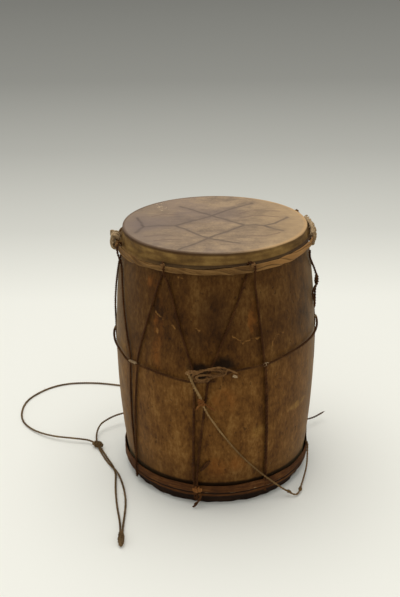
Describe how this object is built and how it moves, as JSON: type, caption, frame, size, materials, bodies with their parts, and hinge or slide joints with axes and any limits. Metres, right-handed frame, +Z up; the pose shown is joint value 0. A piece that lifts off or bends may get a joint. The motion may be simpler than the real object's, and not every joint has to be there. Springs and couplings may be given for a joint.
{
  "type": "laced barrel drum",
  "caption": "Hollow wooden barrel drum with a hide head at each end, laced head to head with twisted cord, a waist cord that draws the laces in pairs, and a carrying cord.",
  "frame": {"origin": "middle of the lower head, on the surface that the drum stands on", "axes": "+Z up along the drum, -Y towards the front where the spare waist cord is folded"},
  "size_m": [0.3701, 0.3384, 0.278],
  "materials": {
    "shell_wood": "worn, waxed by handling",
    "upper_hide": "scraped hide, matt",
    "lower_hide": "dark raw hide",
    "hoop_cane": "split cane",
    "lace_cord": "twisted bast",
    "waist_cord": "twisted bast",
    "tie_cord": "pale bast strip",
    "carry_cord": "twisted bast",
    "bast": "raw bast"
  },
  "bodies": {
    "drum": {"broken_lace": "lace_cord", "broken_lace_end": "lace_cord", "broken_lace_knot": "lace_cord", "carry_cord_inner": "carry_cord", "carry_cord_outer": "carry_cord", "carry_end_knot": "carry_cord", "carry_hitch": "carry_cord", "carry_hitch_knot": "carry_cord", "carry_knot": "carry_cord", "carry_tail_left": "carry_cord", "carry_tail_right": "carry_cord", "front_knot": "lace_cord", "front_tail": "lace_cord", "lace_1": "lace_cord", "lace_2": "lace_cord", "lace_3": "lace_cord", "lace_5": "lace_cord", "lace_6": "lace_cord", "lace_7": "lace_cord", "lower_flesh_hoop": "hoop_cane", "lower_skin": "lower_hide", "rear_tail": "lace_cord", "shell": "shell_wood", "stem_0": "lace_cord", "stem_1": "lace_cord", "stem_2": "lace_cord", "stem_3": "lace_cord", "stem_4": "lace_cord", "stem_5": "lace_cord", "stem_6": "lace_cord", "tie_cord": "tie_cord", "tie_cord_bend": "tie_cord", "tie_cord_return": "tie_cord", "tie_cord_upper": "tie_cord", "tie_knot_front": "tie_cord", "tie_knot_side": "tie_cord", "tie_wrap_knot": "tie_cord", "upper_flesh_hoop": "hoop_cane", "upper_lashing_left": "bast", "upper_lashing_right": "lace_cord", "upper_skin": "upper_hide"},
    "waist": {"waist_cord": "waist_cord", "waist_hank": "waist_cord"}
  },
  "joints": [
    {"name": "waist_slide", "type": "slide", "parent": "drum", "child": "waist", "axis": [0, 0, 1], "range_m": [-0.012, 0.012], "deforming": ["lace_1", "lace_2", "lace_3", "lace_5", "lace_6", "lace_7", "stem_0", "stem_1", "stem_2", "stem_3", "stem_4", "stem_5", "stem_6", "tie_cord_upper"]}
  ]
}
